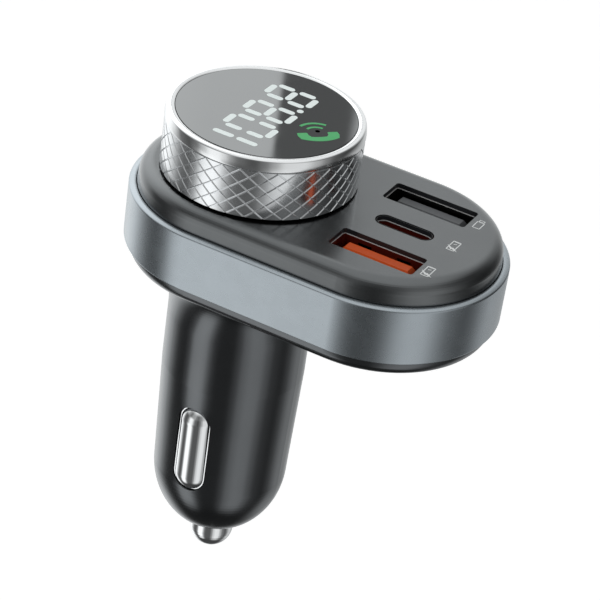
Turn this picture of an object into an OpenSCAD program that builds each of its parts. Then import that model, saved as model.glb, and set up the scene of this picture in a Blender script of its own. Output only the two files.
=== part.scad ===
// Car FM transmitter that plugs into a 12 V socket: an oval head with a display knob and
// three USB ports on a hollow plug barrel with sprung contacts.
// The origin lies on the barrel's axis, where its straight wall ends and the flare under the head starts.
// +Z runs up through the display, and +X runs along the head towards the ports.

/* [Head] */
// Width of the head, which is also the size of its round ends
head_w = 34; // [33.5:0.1:36]
// Distance between the centres of the two round ends
head_span = 22.2; // [21.8:0.1:24]
// How far the knob's end of the head is centred behind the barrel's axis
head_back = 1.1; // [0.9:0.1:1.4]
// Height of the metal band round the head
band_h = 8.7; // [8.5:0.1:10]
// Wall of the metal band
band_wall = 0.87; // [0.7:0.01:0.95]
// Rounding along the top of the band
band_edge = 0.5; // [0.3:0.05:0.6]
// Dark seam between the band and the upper shell
seam_w = 0.25; // [0.15:0.01:0.35]
// Height of the upper shell above the band
crown_h = 3.35; // [3.2:0.05:4]
// Rounding of the upper shell's edge
crown_round = 2; // [1.5:0.1:2.4]
// Height of the lower housing's belly under the band
belly_h = 2.7; // [2.5:0.1:3.2]
// How far the belly stands inside the band's face
belly_inset = 0.8; // [0.7:0.05:0.85]
// Rounding of the belly's lower edge
belly_round = 2; // [1.4:0.1:2.3]
// Wall of the upper shell and of the tray
shell_wall = 1.5; // [1.4:0.05:1.7]
// Thickness of the upper shell's face
face_wall = 1.6; // [1.5:0.05:1.9]

/* [Knob] */
// Radius of the knurled grip
grip_r = 14; // [13.95:0.05:14.6]
// Height of the knurled grip
grip_h = 7.05; // [6.6:0.05:8]
// Number of knurl grooves in each direction
grip_grooves = 34; // [24:1:40]
// Number of half diamonds up the grip
grip_half_rows = 7; // [5:1:9]
// Width of a knurl groove
groove_w = 0.3; // [0.2:0.02:0.4]
// Depth of a knurl groove
groove_d = 0.22; // [0.12:0.02:0.28]
// Height of the polished rim
rim_h = 1.4; // [1.3:0.05:1.8]
// How far the rim stands outside the grip
rim_out = 0.05; // [0:0.01:0.15]
// Rounding of the rim's outer edges
rim_round = 0.38; // [0.2:0.02:0.5]
// Height of the smooth step between grip and rim
step_h = 0.5; // [0.4:0.05:0.8]
// Depth of that step from the grip's face
step_d = 0.4; // [0.3:0.05:0.5]
// Width of the rim's face round the glass
rim_face = 1.27; // [1.24:0.01:1.4]
// Depth of the glass below the rim
glass_drop = 0.13; // [0.05:0.01:0.3]
// Thickness of the glass
glass_t = 1.07; // [0.8:0.01:1.1]
// Gap between the knob and the upper shell
knob_gap = 0.5; // [0.5:0.05:1]
// Travel of the knob when it is pressed
press_travel = 0.4; // [0.2:0.05:0.45]

/* [Ports] */
// How far the middle of the ports lies past the centre of the head's round end
port_ahead = 1.95; // [1.8:0.05:2.4]
// Room between a wide port's opening and the shell's side
port_margin = 5.42; // [5.2:0.02:5.6]
// Length of a wide port's opening
wide_l = 12.8; // [12.7:0.05:13]
// Width of a wide port's opening
wide_w = 5; // [4.9:0.05:5.1]
// Corner radius of a wide port's opening
wide_corner = 0.5; // [0.3:0.05:0.8]
// Length of the small port's opening
small_l = 8.8; // [8.7:0.05:9]
// Width of the small port's opening
small_w = 2.95; // [2.9:0.05:3.1]
// Depth of the plastic lip round each port
port_lip = 0.8; // [0.6:0.05:1]
// How far the tongues lie below the face
tongue_drop = 1.2; // [1.1:0.05:2]

/* [Barrel] */
// Radius of the barrel's straight stretch
barrel_r = 10.5; // [10.45:0.05:10.6]
// Length of the barrel's straight stretch
barrel_straight = 9; // [7:0.5:11]
// Radius of the barrel where its round nose starts
nose_r = 9.98; // [9.8:0.02:10.2]
// Distance from the origin down to the start of the nose
nose_start = 26.7; // [26.5:0.1:29]
// Height of the nose's rounding
nose_h = 11.4; // [11:0.1:12.4]
// Wall of the barrel
barrel_wall = 1.8; // [1.6:0.05:1.9]
// Height of the flare with which the barrel grows into the head
flare_h = 8.2; // [7:0.1:9]
// Flat rim between the flare and the round lower edge of the head
flare_rim = 0.3; // [0.2:0.05:1]

/* [Contacts] */
// Width of a side contact
contact_w = 4.8; // [4.4:0.05:5.2]
// Length of a side contact
contact_l = 14.2; // [13.5:0.1:14.6]
// Distance from the origin down to the middle of the side contacts
contact_mid = 19.6; // [19:0.1:20.4]
// How far a side contact stands out of the barrel
contact_out = 0.9; // [0.7:0.05:1]
// Gap round a side contact in its slot
contact_gap = 0.25; // [0.2:0.01:0.35]
// Radius of the centre pin
tip_r = 3.28; // [3:0.02:3.6]
// Distance from the origin down to the end of the centre pin
tip_end = 42.6; // [42:0.1:43.6]
// Travel of the centre pin
tip_travel = 2; // [1:0.1:2.4]
// Coils of the centre pin's spring
spring_turns = 6; // [5:1:8]

/* [Fits] */
// Radial clearance of parts that turn or slide
run_fit = 0.08; // [0.05:0.01:0.1]
// Clearance between parts that are put together
seat_fit = 0.1; // [0.05:0.01:0.15]

/* [Hidden] */
$fn = 96;
// Overrun of a cut past the face it leaves by
cut = 0.5;
// Steps in a rounded edge's arc
arc_steps = 12;

// Heights of the head, from the underside to the face
under_z = flare_h;
band_z = under_z + belly_h;
band_top = band_z + band_h;
top_z = band_top + crown_h;
head_r = head_w / 2;
left_x = -head_back;
right_x = head_span - head_back;

// Shell and tray: both walls stand inside the band, and meet behind it
shell_r = head_r - band_wall - seam_w;
belly_r = head_r - belly_inset;
flare_w = belly_r - belly_round - flare_rim - barrel_r;
tray_r = shell_r;
shell_in = shell_r - shell_wall;
band_in = head_r - band_wall;
// Draft of the upper shell's side
shell_draft = 0.15;
// Height of the seam groove, below which the band fits the tray closely
seam_h = 2.2;
meet_z = band_top - seam_h + seam_w;
// Tongue on the tray's rim that locates the upper shell
lip_w = 0.7;
lip_h = 1;
floor_wall = 1.6;
floor_z = under_z + floor_wall;

// Main board on the upper shell's bosses
board_lift = 1.4;
board_t = 1;
board_gap = 0.45;
board_z = floor_z + board_lift;
board_top = board_z + board_t;
board_r = shell_in - board_gap;
boss_r = 1.5;
screw_r = 0.85;
screw_head_r = 1.35;
screw_head_h = 0.8;
screw_l = 5;
face_in = top_z - face_wall;

// Knob stack, upwards from the gap over the face
knob_z = top_z + knob_gap;
grip_top = knob_z + grip_h;
step_top = grip_top + step_h;
rim_top = step_top + rim_h;
rim_r = grip_r + rim_out;
rim_in = rim_r - rim_face;
glass_r = rim_in - seat_fit;
glass_top = rim_top - glass_drop;
glass_z = glass_top - glass_t;
sleeve_wall = 0.55;
grip_wall = 0.65;
grip_in = grip_r - grip_wall;
sleeve_r = grip_in - seat_fit / 2;
cup_r = sleeve_r - sleeve_wall - run_fit;
cup_step = 0.47;
cup_wall = 0.7;
cup_top_r = cup_r - cup_step;
cup_in = cup_top_r - cup_wall;
wheel_t = 0.6;
wheel_top = knob_z + wheel_t;
cup_z = wheel_top + seat_fit;
cup_floor = 1;
cup_low_h = 3.8;
cup_mid = cup_z + cup_low_h;
disc_t = 0.8;
disc_lift = 1.2;
disc_z = cup_z + cup_floor + disc_lift;
disc_top = disc_z + disc_t;
disc_r = cup_in - seat_fit;
block_top = glass_z - seat_fit;
// Step inside the cup that the display's board rests on
ledge_w = 1;

// Neck of the display's carrier, its guide in the face, and the press switch under it.
// The wheel's track lies between the neck and the knob's sleeve.
track_w = 2.8;
neck_r = sleeve_r - track_w;
magnet_at = (neck_r + cup_r) / 2;
neck_wall = 1;
collar_wall = 1.2;
collar_h = 3.35;
collar_z = face_in - collar_h;
clip_t = 0.6;
clip_top = collar_z - seat_fit;
clip_deep = 0.6;
neck_end = 0.6;
neck_z = clip_top - clip_t - neck_end;
key_w = 1.2;
key_out = 0.6;
switch_w = 6;
switch_h = 3.5;
button_r = 1.7;
button_out = 1.3;
button_room = 0.5;
switch_top = board_top + switch_h;
button_top = switch_top + button_out;
plunger_r = 2;
// Openings in the cup's floor that let the wires through
vent_at_share = 0.55;
vent_r_share = 0.14;

// Display segments, in the plane of the glass: text reads along +Y, and its top is towards -X.
// The display is drawn in shares of the glass's radius.
segment_share = 0.075;
digit_x_share = 0.0213;
half_h_share = 0.2626;
half_w_share = 0.1364;
upright_share = 0.1972;
crossbar_share = 0.2169;
pitch_share = 0.4235;
point_gap_share = 0.052;
first_y_share = -0.3943;
one_pitch_share = 0.3297;
one_l_share = 0.2524;
one_share = 0.555;
point_in_share = 0.016;
call_x_share = 0.6467;
call_y_share = -0.0237;
call_r_share = 0.205;
mic_x_share = 0.631;
segment_t = segment_share * glass_r;
digit_x = digit_x_share * glass_r;
digit_half_h = half_h_share * glass_r;
digit_half_w = half_w_share * glass_r;
upright_l = upright_share * glass_r;
crossbar_l = crossbar_share * glass_r;
digit_pitch = pitch_share * glass_r;
first_y = first_y_share * glass_r;
digit_ys = [first_y, first_y + digit_pitch, first_y + 2 * digit_pitch + point_gap_share * glass_r];
one_y = first_y - one_pitch_share * glass_r;
one_l = one_l_share * glass_r;
point_at = [digit_x + digit_half_h - point_in_share * glass_r, (digit_ys[1] + digit_ys[2]) / 2];
call_x = call_x_share * glass_r;
call_y = call_y_share * glass_r;
call_r = call_r_share * glass_r;
mic_x = mic_x_share * glass_r;
light_t = 1.1;
mic_hole_r = 0.35;

// Ports: the metal shells hang under the lip and stand on the main board
port_x = right_x + port_ahead;
port_pitch = shell_r - port_margin - wide_w / 2;
wide_metal = 0.3;
wide_step = 0.15;
wide_in_l = wide_l - 2 * wide_step;
wide_in_w = wide_w - 2 * wide_step;
small_metal = 0.25;
small_step = 0.2;
small_in_l = small_l - 2 * small_step;
small_in_w = small_w - 2 * small_step;
port_z = top_z - port_lip;
tongue_l = 11;
tongue_w = 1.9;
tongue_side = 0.6;
tongue_bevel = 0.45;
port_base_h = 2.2;
pad_t = 0.15;
pad_w = 1;
pad_mid = 1;
pad_end = 3.5;
pad_xs = [-pad_end, -pad_mid, pad_mid, pad_end];
window_w = 2.1;
window_x = 3;
window_l = 3.2;
window_drop = 0.6;

// Barrel inside
bore_r = barrel_r - barrel_wall;
hole_r = tip_r + seat_fit;
nose_floor_t = 1.4;
hole_share = hole_r / nose_r;
nose_end_z = -nose_start - nose_h * sqrt(1 - hole_share * hole_share);
pin_seat_z = nose_end_z + nose_floor_t;
pin_flange_r = 4.6;
pin_flange_t = 1;
pin_post_r = 1.5;
post_gap = 3.5;
spring_wire_r = 0.35;
spring_r = pin_post_r + spring_wire_r + seat_fit * 2;
spring_z0 = pin_seat_z + pin_flange_t;
spring_ring_steps = 8;
seat_t = 0.5;
seat_r = 3.4;
power_t = 1.2;
power_play = 0.6;
power_w = 2 * (bore_r - power_play);
power_lift = 0.7;
power_low = -nose_start + power_lift;
power_drop = 1.2;
power_high = board_z - power_drop;
foot_in = 1.5;
spring_z1 = power_low - seat_t;
pin_post_l = spring_z1 - spring_z0 - tip_travel - post_gap;
rail_w = 0.8;
rail_in = 0.9;
rail_low = -24;
rail_high = 6;

// Side contacts: a crowned pill with a flange behind the slot
slot_w = contact_w + 2 * contact_gap;
slot_l = contact_l + 2 * contact_gap;
pill_sag = 1.5;
pill_r = (contact_w * contact_w / 4 + pill_sag * pill_sag) / (2 * pill_sag);
slot_wall_r = wall_at(-contact_mid);
pill_top = slot_wall_r + contact_out;
flange_w = 6.6;
flange_over = 0.7;
flange_l = slot_l + 2 * flange_over;
flange_t = 0.5;
flange_corner = 1;
flange_low = max(0, contact_mid + flange_l / 2 - nose_start) / (nose_h - barrel_wall);
flange_wall_r = min(wall_at(flange_l / 2 - contact_mid) - barrel_wall,
    (nose_r - barrel_wall) * sqrt(1 - flange_low * flange_low));
flange_y = sqrt(flange_wall_r * flange_wall_r - flange_w * flange_w / 4) - seat_fit;
leaf_w = 3.6;
leaf_t = 0.25;
leaf_deep = flange_y - flange_t - power_t / 2 - contact_out - seat_fit;
leaf_l = 12;

// Outer radius of the barrel between the head and the nose
function wall_at(z) = z > -barrel_straight ? barrel_r
    : barrel_r + (nose_r - barrel_r) * (-z - barrel_straight) / (nose_start - barrel_straight);

function arc(cx, cy, r, a0, a1) =
    [for (i = [0:arc_steps]) let (a = a0 + (a1 - a0) * i / arc_steps) [cx + r * cos(a), cy + r * sin(a)]];

// Solid of the head's oval outline, from a profile of radius and height
module oval(profile) {
    for (x = [left_x, right_x]) translate([x, 0, 0]) rotate_extrude() polygon(profile);
    translate([left_x, 0, 0]) rotate([90, 0, 90]) linear_extrude(height = right_x - left_x) {
        polygon(profile);
        mirror([1, 0]) polygon(profile);
    }
}

module oval_slab(r, z0, z1) {
    oval([[0, z0], [r, z0], [r, z1], [0, z1]]);
}

// Plate with round corners, centred, l along X and w along Y
module round_plate(l, w, r, h) {
    linear_extrude(height = h) {
        square([l - 2 * r, w], center = true);
        square([l, w - 2 * r], center = true);
        for (x = [-1, 1], y = [-1, 1]) translate([x * (l / 2 - r), y * (w / 2 - r)]) circle(r);
    }
}

// Bar with round ends, centred, l along X and w wide
module pill_plate(l, w, h) {
    linear_extrude(height = h) {
        square([l - w, w], center = true);
        for (x = [-1, 1]) translate([x * (l - w) / 2, 0]) circle(w / 2);
    }
}

module tube(r_out, r_in, h) {
    difference() {
        cylinder(r = r_out, h = h);
        translate([0, 0, -cut]) cylinder(r = r_in, h = h + 2 * cut);
    }
}

// Places of the screws that hold the main board to the upper shell
boss_port_gap = 2.85;
boss_side_gap = 1.5;
boss_left_gap = 0.3;
boss_right_gap = 1.1;
boss_side_x = port_x - wide_l / 2 - boss_r - boss_port_gap;
boss_side_y = shell_in - boss_r - boss_side_gap;
boss_left_x = left_x - shell_in + boss_r + boss_left_gap;
boss_right_x = right_x + shell_in - boss_r - boss_right_gap;
boss_places = [[boss_side_x, boss_side_y], [boss_side_x, -boss_side_y], [boss_left_x, 0], [boss_right_x, 0]];

module upper_shell() {
    outer = concat([[0, meet_z], [shell_r, meet_z], [shell_r, band_top]],
        arc(shell_r - shell_draft - crown_round, top_z - crown_round, crown_round, 0, 90), [[0, top_z]]);
    inner_round = crown_round - shell_draft;
    inner = concat([[0, meet_z - cut], [shell_in, meet_z - cut]],
        arc(shell_in - shell_draft - inner_round, face_in - inner_round, inner_round, 0, 90), [[0, face_in]]);
    color("dimgray") difference() {
        union() {
            difference() {
                oval(outer);
                oval(inner);
                oval_slab(shell_in + lip_w + seat_fit, meet_z - cut, meet_z + lip_h + seat_fit);
            }
            translate([0, 0, collar_z]) cylinder(r = neck_r + run_fit + collar_wall, h = collar_h + face_wall / 2);
            for (p = boss_places) translate([p[0], p[1], board_top])
                cylinder(r = boss_r, h = face_in - board_top + face_wall / 2);
        }
        translate([0, 0, collar_z - cut]) cylinder(r = neck_r + run_fit, h = top_z - collar_z + 2 * cut);
        for (a = [90, 270]) rotate([0, 0, a]) translate([0, -key_w / 2 - seat_fit, collar_z - cut])
            cube([neck_r + key_out + seat_fit, key_w + 2 * seat_fit, cut + collar_h + face_wall / 2]);
        for (p = boss_places) translate([p[0], p[1], board_top - cut])
            cylinder(r = screw_r + seat_fit / 2, h = cut + screw_l);
        for (side = [-1, 1]) translate([port_x, side * port_pitch, 0]) {
            translate([0, 0, face_in - cut]) round_plate(wide_l, wide_w, wide_corner, face_wall + 2 * cut);
            translate([0, 0, face_in - cut]) round_plate(wide_in_l + 2 * wide_metal + 2 * seat_fit,
                wide_in_w + 2 * wide_metal + 2 * seat_fit, wide_corner, port_z - face_in + cut);
        }
        translate([port_x, 0, face_in - cut]) pill_plate(small_l, small_w, face_wall + 2 * cut);
        translate([port_x, 0, face_in - cut]) pill_plate(small_in_l + 2 * small_metal + 2 * seat_fit,
            small_in_w + 2 * small_metal + 2 * seat_fit, port_z - face_in + cut);
    }
}

module trim_band() {
    foot_edge = band_edge / 4;
    outer = concat([[0, band_z], [head_r - foot_edge, band_z], [head_r, band_z + foot_edge]],
        arc(head_r - band_edge, band_top - band_edge, band_edge, 0, 90), [[0, band_top]]);
    color("slategray") difference() {
        oval(outer);
        oval_slab(band_in, band_top - seam_h, band_top + cut);
        oval_slab(tray_r + seat_fit / 2, band_z - cut, band_top - seam_h + cut);
    }
}

// Outside of the barrel from the head down to the hole for the centre pin
function barrel_outline() = let (flare_r = barrel_r + flare_w)
    concat([[0, under_z + cut], [flare_r, under_z + cut]],
    [for (i = [0:2 * arc_steps]) let (a = 90 + 45 * i / arc_steps)
        [flare_r + flare_w * cos(a), flare_h * sin(a)]],
    [[barrel_r, -barrel_straight]],
    [for (i = [0:2 * arc_steps]) let (s = i / (2 * arc_steps), a = s * acos(hole_share))
        [nose_r * cos(a), -nose_start - nose_h * sin(a)]], [[0, nose_end_z]]);

// Space inside the barrel, which follows the nose and ends at the pin's seat
function barrel_space() = let (nose_in = nose_r - barrel_wall, low = nose_h - barrel_wall,
    well_r = pin_flange_r + seat_fit, stop = acos(well_r / nose_in))
    concat([[0, floor_z + cut], [bore_r, floor_z + cut], [bore_r, -barrel_straight]],
    [for (i = [0:arc_steps]) let (a = stop * i / arc_steps) [nose_in * cos(a), -nose_start - low * sin(a)]],
    [[well_r, pin_seat_z], [0, pin_seat_z]]);

module lower_housing() {
    belly = concat([[0, under_z]], arc(belly_r - belly_round, under_z + belly_round, belly_round, -90, 0),
        [[belly_r, band_z], [tray_r, band_z], [tray_r, meet_z], [0, meet_z]]);
    tray = [[0, floor_z], [shell_in, floor_z], [shell_in, meet_z + lip_h + cut], [0, meet_z + lip_h + cut]];
    color("dimgray") difference() {
        union() {
            oval(belly);
            oval_slab(shell_in + lip_w, meet_z - cut, meet_z + lip_h);
            rotate_extrude() polygon(barrel_outline());
        }
        oval(tray);
        difference() {
            rotate_extrude() polygon(barrel_space());
            for (side = [-1, 1], face = [-1, 1])
                translate([side * (bore_r - rail_in / 2 + cut / 2), face * (power_t / 2 + seat_fit + rail_w / 2),
                    (rail_low + rail_high) / 2])
                    cube([rail_in + cut, rail_w, rail_high - rail_low], center = true);
        }
        translate([0, 0, nose_end_z - cut]) cylinder(r = hole_r, h = nose_floor_t + 2 * cut);
        for (side = [-1, 1]) rotate([0, 0, side * 90]) translate([bore_r / 2, 0, -contact_mid])
            rotate([0, 90, 0]) pill_plate(slot_l, slot_w, barrel_r);
    }
}

module main_board() {
    color("darkgreen") difference() {
        oval_slab(board_r, board_z, board_top);
        for (p = boss_places) translate([p[0], p[1], board_z - cut])
            cylinder(r = screw_r + seat_fit, h = board_t + 2 * cut);
        for (i = [0:header_pins - 1]) translate([header_x(i), header_y, board_z - cut])
            cylinder(r = header_pin_r + seat_fit, h = board_t + 2 * cut);
    }
}

module board_screws() {
    color("silver") for (p = boss_places) translate([p[0], p[1], 0]) difference() {
        union() {
            translate([0, 0, board_z - screw_head_h]) cylinder(r = screw_head_r, h = screw_head_h);
            translate([0, 0, board_z]) cylinder(r = screw_r, h = board_t + screw_l - cut);
        }
        for (a = [0, 90]) rotate([0, 0, a]) translate([0, 0, board_z - screw_head_h])
            cube([screw_head_r * 1.4, screw_head_r / 4, screw_head_h], center = true);
    }
}

module power_board() {
    foot = nose_r - barrel_wall - foot_in;
    low = min(power_w / 2, wall_at(rail_low) - barrel_wall - seat_fit);
    color("darkgreen") rotate([90, 0, 0]) translate([0, 0, -power_t / 2]) linear_extrude(height = power_t)
        polygon([[-foot, power_low], [foot, power_low], [low, rail_low],
            [power_w / 2, power_high], [-power_w / 2, power_high], [-low, rail_low]]);
}

// Pins that join the two boards
header_pins = 4;
header_pin_r = 0.32;
header_pitch = 2.54;
header_h = 2.5;
header_d = 2.4;
header_y = power_t / 2 + header_d / 2;
function header_x(i) = (i - (header_pins - 1) / 2) * header_pitch;

module board_header() {
    color("black") {
        translate([0, header_y, power_high - header_h / 2 - power_t])
            cube([header_pins * header_pitch, header_d, header_h], center = true);
        for (i = [0:header_pins - 1]) translate([header_x(i), header_y, power_high - power_t - header_h / 2])
            cylinder(r = header_pin_r, h = board_top + power_t - power_high + header_h / 2);
    }
}

// Coil and capacitors stand on the power board above the side contacts
coil_side_gap = 4.5;
coil_r = bore_r - coil_side_gap;
coil_h = 5;
coil_z = -4;
module inductor() {
    waist = 0.8;
    cheek = 0.9;
    color("darkslategray") translate([0, -power_t / 2, coil_z]) rotate([90, 0, 0]) rotate_extrude()
        polygon([[0, 0], [coil_r, 0], [coil_r, cheek], [coil_r - waist, cheek], [coil_r - waist, coil_h - cheek],
            [coil_r, coil_h - cheek], [coil_r, coil_h], [0, coil_h]]);
}

can_r = 2.5;
can_l = 8;
can_x = 3;
module capacitors() {
    crimp = 0.25;
    color("silver") for (side = [-1, 1]) translate([side * can_x, power_t / 2 + can_r, coil_z - can_l / 2]) rotate_extrude()
        polygon([[0, 0], [can_r, 0], [can_r, can_r / 2], [can_r - crimp, can_r / 2 + crimp],
            [can_r, can_r / 2 + 2 * crimp], [can_r, can_l], [0, can_l]]);
}

chip_w = 5;
chip_h = 1.3;
chip_gap = 1.2;
module power_chip() {
    color("black") translate([0, -power_t / 2 - chip_h / 2, coil_z + coil_r + chip_w / 2 + chip_gap])
        cube([chip_w, chip_h, chip_w], center = true);
}

radio_w = 6;
radio_x = 10;
module radio_chip() {
    color("black") translate([radio_x, 0, board_top + chip_h / 2]) cube([radio_w, radio_w, chip_h], center = true);
}

module crystal() {
    can_w = 2.4;
    color("silver") translate([radio_x, -radio_w / 2 - can_w, board_top]) pill_plate(radio_w, can_w, chip_h);
}

module switch_body() {
    corner = 0.5;
    well = press_travel + seat_fit + button_room;
    color("black") translate([0, 0, board_top]) difference() {
        round_plate(switch_w, switch_w, corner, switch_h);
        translate([0, 0, switch_h - well]) cylinder(r = button_r + run_fit, h = well + cut);
    }
}

module switch_button() {
    color("black") translate([0, 0, switch_top - cut]) cylinder(r = button_r, h = button_out + cut);
}

// Metal shell of a wide port, with its two spring windows in the wall towards +Y
module wide_shell(side) {
    h = port_z - board_top;
    color("silver") translate([port_x, side * port_pitch, board_top]) difference() {
        round_plate(wide_in_l + 2 * wide_metal, wide_in_w + 2 * wide_metal, wide_corner, h);
        translate([0, 0, -cut]) round_plate(wide_in_l, wide_in_w, wide_corner / 2, h + 2 * cut);
        for (x = [-1, 1]) translate([x * window_x, wide_in_w / 2 + wide_metal / 2, h - window_drop - window_l / 2])
            cube([window_w, wide_metal + 2 * cut, window_l], center = true);
    }
}

// Insulator of a wide port: a base in the shell, and the tongue with its sloped end
module wide_tongue(side, tone) {
    base_l = wide_in_l - 2 * seat_fit;
    base_w = wide_in_w - 2 * seat_fit;
    h = top_z - tongue_drop - board_top;
    color(tone) translate([port_x, side * port_pitch, board_top]) {
        round_plate(base_l, base_w, wide_corner / 2, port_base_h);
        translate([0, tongue_side, 0]) intersection() {
            translate([-tongue_l / 2, 0, 0]) rotate([90, 0, 90]) linear_extrude(height = tongue_l)
                polygon([[-tongue_w / 2, 0], [tongue_w / 2, 0], [tongue_w / 2, h - tongue_bevel],
                    [tongue_w / 2 - tongue_bevel / 2, h], [-tongue_w / 2 + tongue_bevel / 2, h],
                    [-tongue_w / 2, h - tongue_bevel]]);
            translate([0, tongue_w, 0]) rotate([90, 0, 0]) linear_extrude(height = 2 * tongue_w)
                polygon([[-tongue_l / 2, 0], [tongue_l / 2, 0], [tongue_l / 2, h - 2 * tongue_bevel],
                    [tongue_l / 2 - 1.6 * tongue_bevel, h], [-tongue_l / 2 + 1.6 * tongue_bevel, h],
                    [-tongue_l / 2, h - 2 * tongue_bevel]]);
        }
    }
}

module wide_contacts(side) {
    h = top_z - tongue_drop - board_top - port_base_h - 3 * tongue_bevel;
    color("gold") for (x = pad_xs) translate([port_x + x - pad_w / 2,
        side * port_pitch + tongue_side - tongue_w / 2 - pad_t, board_top + port_base_h]) cube([pad_w, pad_t, h]);
}

module fast_usb_shell() { wide_shell(-1); }
module fast_usb_tongue() { wide_tongue(-1, "orangered"); }
module fast_usb_contacts() { wide_contacts(-1); }
module media_usb_shell() { wide_shell(1); }
module media_usb_tongue() { wide_tongue(1, "gray"); }
module media_usb_contacts() { wide_contacts(1); }

module usb_c_shell() {
    h = port_z - board_top;
    color("silver") translate([port_x, 0, board_top]) difference() {
        pill_plate(small_in_l + 2 * small_metal, small_in_w + 2 * small_metal, h);
        translate([0, 0, -cut]) pill_plate(small_in_l, small_in_w, h + 2 * cut);
    }
}

small_tongue_l = 6.7;
small_tongue_w = 0.7;
module usb_c_tongue() {
    h = port_z - board_top - port_lip;
    color("black") translate([port_x, 0, board_top]) {
        pill_plate(small_in_l - 2 * seat_fit, small_in_w - 2 * seat_fit, 2 * port_base_h);
        pill_plate(small_tongue_l, small_tongue_w, h);
    }
}

// Cup on the foot of the power board, which the centre pin's spring stands against
module spring_seat() {
    rim = 0.4;
    color("gold") translate([0, 0, power_low - seat_t]) difference() {
        translate([0, 0, -rim]) cylinder(r = seat_r, h = seat_t + rim);
        translate([0, 0, -rim - cut]) cylinder(r = seat_r - rim, h = rim + cut);
    }
}

// Points of the coil spring's ring number i: six round the wire, square to the helix
spring_rings = round(spring_turns * spring_ring_steps);
wire_sides = 6;
function wire_ring(i) = let (a = 360 * i / spring_ring_steps,
    z = spring_z0 + spring_wire_r + (spring_z1 - spring_z0 - 2 * spring_wire_r) * i / spring_rings)
    [for (s = [0:wire_sides - 1]) let (b = 360 * s / wire_sides, r = spring_r + spring_wire_r * cos(b))
        [r * cos(a), r * sin(a), z + spring_wire_r * sin(b)]];

module pin_spring() {
    points = [for (i = [0:spring_rings]) each wire_ring(i)];
    function at(i, s) = i * wire_sides + s % wire_sides;
    sides = [for (i = [0:spring_rings - 1], s = [0:wire_sides - 1]) each
        [[at(i, s), at(i, s + 1), at(i + 1, s + 1)], [at(i, s), at(i + 1, s + 1), at(i + 1, s)]]];
    first = [for (s = [1:wire_sides - 2]) [at(0, 0), at(0, s + 1), at(0, s)]];
    last = [for (s = [1:wire_sides - 2]) [at(spring_rings, 0), at(spring_rings, s), at(spring_rings, s + 1)]];
    color("silver") polyhedron(points, concat(sides, first, last));
}

module centre_pin() {
    round_z = -tip_end + tip_r;
    color("silver") rotate_extrude() polygon(concat(
        arc(0, round_z, tip_r, -90, 0),
        [[tip_r, pin_seat_z], [pin_flange_r, pin_seat_z], [pin_flange_r, pin_seat_z + pin_flange_t],
        [pin_post_r, pin_seat_z + pin_flange_t], [pin_post_r, pin_seat_z + pin_flange_t + pin_post_l],
        [0, pin_seat_z + pin_flange_t + pin_post_l]]));
}

// Side contact facing +X before it is turned to its side of the barrel
module side_contact() {
    shaft_l = contact_l - contact_w;
    translate([0, 0, -contact_mid]) {
        intersection() {
            translate([pill_top - pill_r, 0, 0]) {
                translate([0, 0, -shaft_l / 2]) cylinder(r = pill_r, h = shaft_l);
                for (z = [-1, 1]) translate([0, 0, z * shaft_l / 2]) sphere(pill_r);
            }
            translate([pill_top - pill_r, 0, 0]) rotate([0, 90, 0]) pill_plate(contact_l, contact_w, 2 * pill_r);
        }
        translate([flange_y - cut, 0, 0]) rotate([0, 90, 0])
            pill_plate(contact_l, contact_w, pill_top - pill_sag - flange_y + cut);
        translate([flange_y - flange_t, 0, 0]) rotate([0, 90, 0]) round_plate(flange_l, flange_w, flange_corner, flange_t);
    }
}

// Bowed leaf behind a side contact
module side_leaf() {
    x0 = flange_y - flange_t;
    bow_r = (leaf_l * leaf_l / 4 + leaf_deep * leaf_deep) / (2 * leaf_deep);
    half = asin(leaf_l / 2 / bow_r);
    pts_out = [for (i = [-arc_steps:arc_steps]) let (a = half * i / arc_steps)
        [x0 - leaf_deep + bow_r - bow_r * cos(a), bow_r * sin(a)]];
    pts_in = [for (i = [arc_steps:-1:-arc_steps]) let (a = half * i / arc_steps)
        [x0 - leaf_deep + bow_r - (bow_r - leaf_t) * cos(a), (bow_r - leaf_t) * sin(a)]];
    translate([0, 0, -contact_mid]) rotate([90, 0, 0]) translate([0, 0, -leaf_w / 2])
        linear_extrude(height = leaf_w) intersection() {
            polygon(concat(pts_out, pts_in));
            translate([x0 - 2 * leaf_deep, -leaf_l]) square([2 * leaf_deep, 2 * leaf_l]);
        }
}

module contact_front() { color("silver") rotate([0, 0, -90]) side_contact(); }
module contact_back() { color("silver") rotate([0, 0, 90]) side_contact(); }
module leaf_front() { color("goldenrod") rotate([0, 0, -90]) side_leaf(); }
module leaf_back() { color("goldenrod") rotate([0, 0, 90]) side_leaf(); }

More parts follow.
